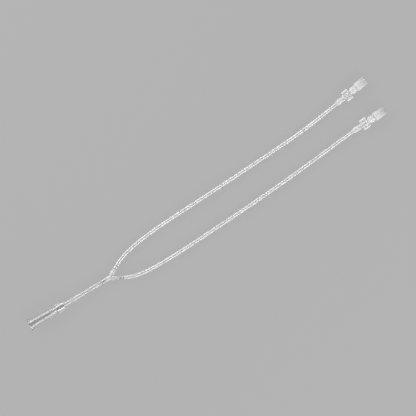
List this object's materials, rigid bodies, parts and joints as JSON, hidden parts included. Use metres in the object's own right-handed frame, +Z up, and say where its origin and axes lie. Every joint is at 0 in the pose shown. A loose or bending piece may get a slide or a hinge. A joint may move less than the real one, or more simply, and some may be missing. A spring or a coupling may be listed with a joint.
{
  "type": "tubing y connector",
  "caption": "Clear Y-shaped tubing set: funnel connector on a short stem tube, moulded Y, and long limb tubes ending in winged threaded hubs closed by push-in plugs.",
  "frame": {"origin": "on the surface that the set lies on, under the middle of the rigid pieces' box (funnel mouth to plug ends)", "axes": "+X runs along the stem from the funnel towards the plugs, +Y towards the left limb, +Z up off the surface"},
  "size_m": [0.416, 0.0601, 0.0123],
  "materials": {
    "funnel_pvc": "clear soft PVC, moulded, glossy",
    "tube_pvc": "clear plasticised PVC hose, extruded, glossy",
    "y_plastic": "slightly milky clear rigid plastic, moulded",
    "hub_plastic": "clear rigid plastic, moulded, glossy",
    "plug_plastic": "milky natural polyethylene, moulded, satin"
  },
  "bodies": {
    "line_set": {"funnel_connector": "funnel_pvc", "stem_tube": "tube_pvc", "y_piece": "y_plastic", "left_limb_tube": "tube_pvc", "right_limb_tube": "tube_pvc", "left_luer_hub": "hub_plastic", "right_luer_hub": "hub_plastic"},
    "left_plug": {"left_luer_plug": "plug_plastic"},
    "right_plug": {"right_luer_plug": "plug_plastic"}
  },
  "joints": [
    {"name": "left_plug_pull", "type": "slide", "parent": "line_set", "child": "left_plug", "axis": [0.9846, 0.163, 0.0625], "range_m": [0, 0.014]},
    {"name": "right_plug_pull", "type": "slide", "parent": "line_set", "child": "right_plug", "axis": [0.9964, 0.0575, 0.0625], "range_m": [0, 0.014]}
  ]
}
